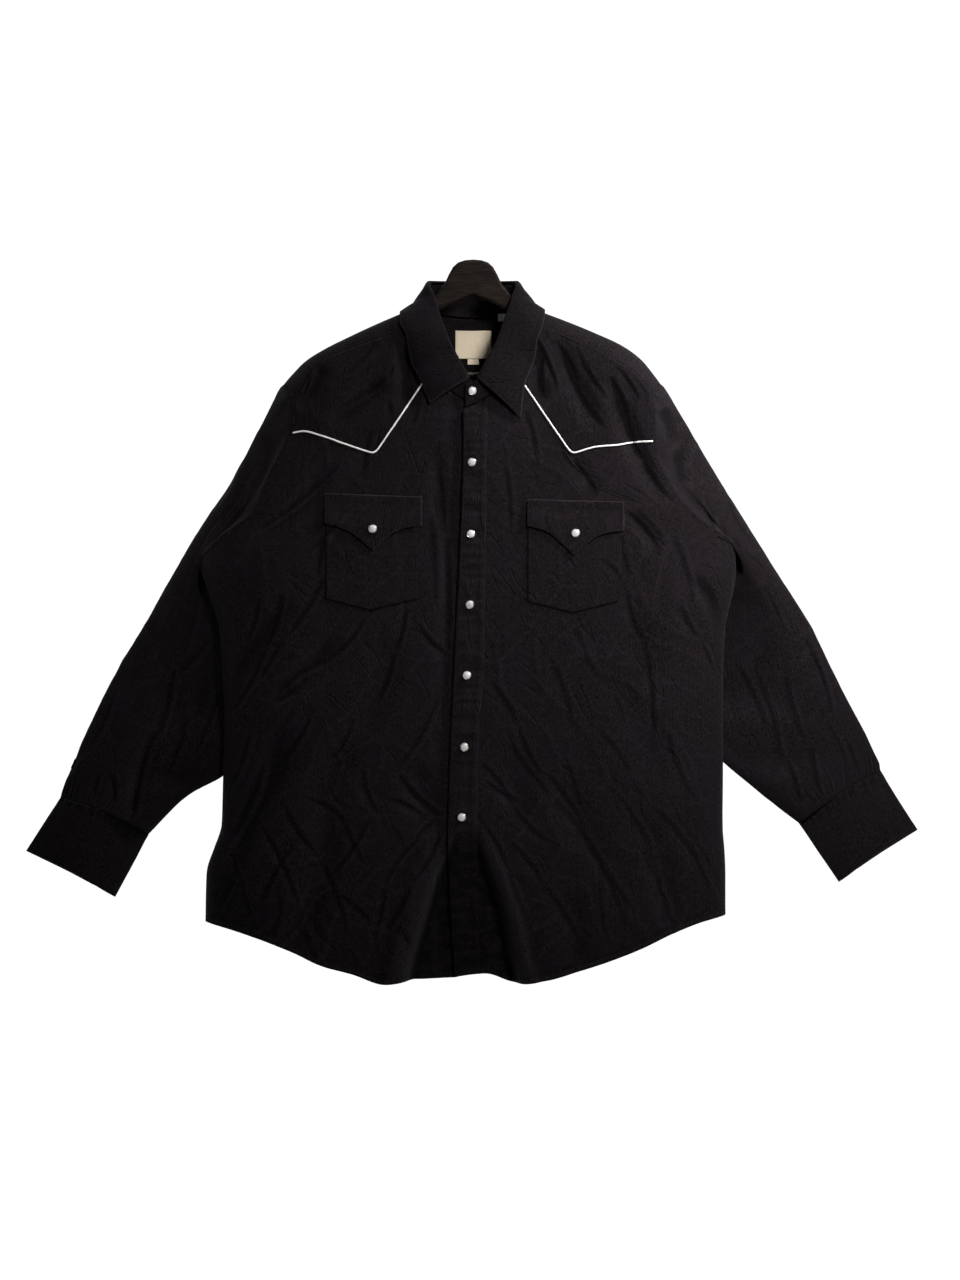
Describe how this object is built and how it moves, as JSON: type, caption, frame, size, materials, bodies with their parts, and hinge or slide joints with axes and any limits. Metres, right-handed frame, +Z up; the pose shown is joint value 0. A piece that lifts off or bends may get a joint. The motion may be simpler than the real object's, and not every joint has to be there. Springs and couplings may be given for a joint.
{
  "type": "button-up shirt on a hanger",
  "caption": "Long-sleeved button-up shirt with pointed piped yokes, flap pockets and pearl snaps, hanging on a shaped wooden hanger.",
  "frame": {"origin": "top middle of the wooden hanger's head, where the hook would be held", "axes": "+Z up, +X towards the wearer's left sleeve, the front of the shirt faces -Y"},
  "size_m": [1.063, 0.1081, 0.8607],
  "materials": {
    "cloth": "near-black cotton twill, matt, with faint lengthwise streaks",
    "piping": "white corded piping",
    "label": "cream woven label, bare",
    "care_tag": "white satin tag, bare",
    "pearl": "pearl snap cap in a thin metal ring",
    "wood": "dark brown varnished wood",
    "bar": "thin plain bar"
  },
  "bodies": {
    "root": {"back": "cloth", "back_yoke": "cloth", "front_left": "cloth", "front_right": "cloth", "front_band": "cloth", "front_yoke_left": "cloth", "front_yoke_right": "cloth", "sleeve_left": "cloth", "sleeve_right": "cloth", "cuff_left": "cloth", "cuff_right": "cloth", "collar_stand": "cloth", "collar": "cloth", "pocket_left": "cloth", "pocket_right": "cloth", "flap_left": "cloth", "flap_right": "cloth", "piping_left": "piping", "piping_right": "piping", "neck_label": "label", "size_tab": "label", "care_tag": "care_tag", "snap_neck": "pearl", "snap_front_1": "pearl", "snap_front_2": "pearl", "snap_front_3": "pearl", "snap_front_4": "pearl", "snap_front_5": "pearl", "snap_front_6": "pearl", "snap_flap_left": "pearl", "snap_flap_right": "pearl", "snap_cuff_left": "pearl", "snap_cuff_right": "pearl", "hanger": "wood", "hanger_bar": "bar"}
  },
  "joints": []
}
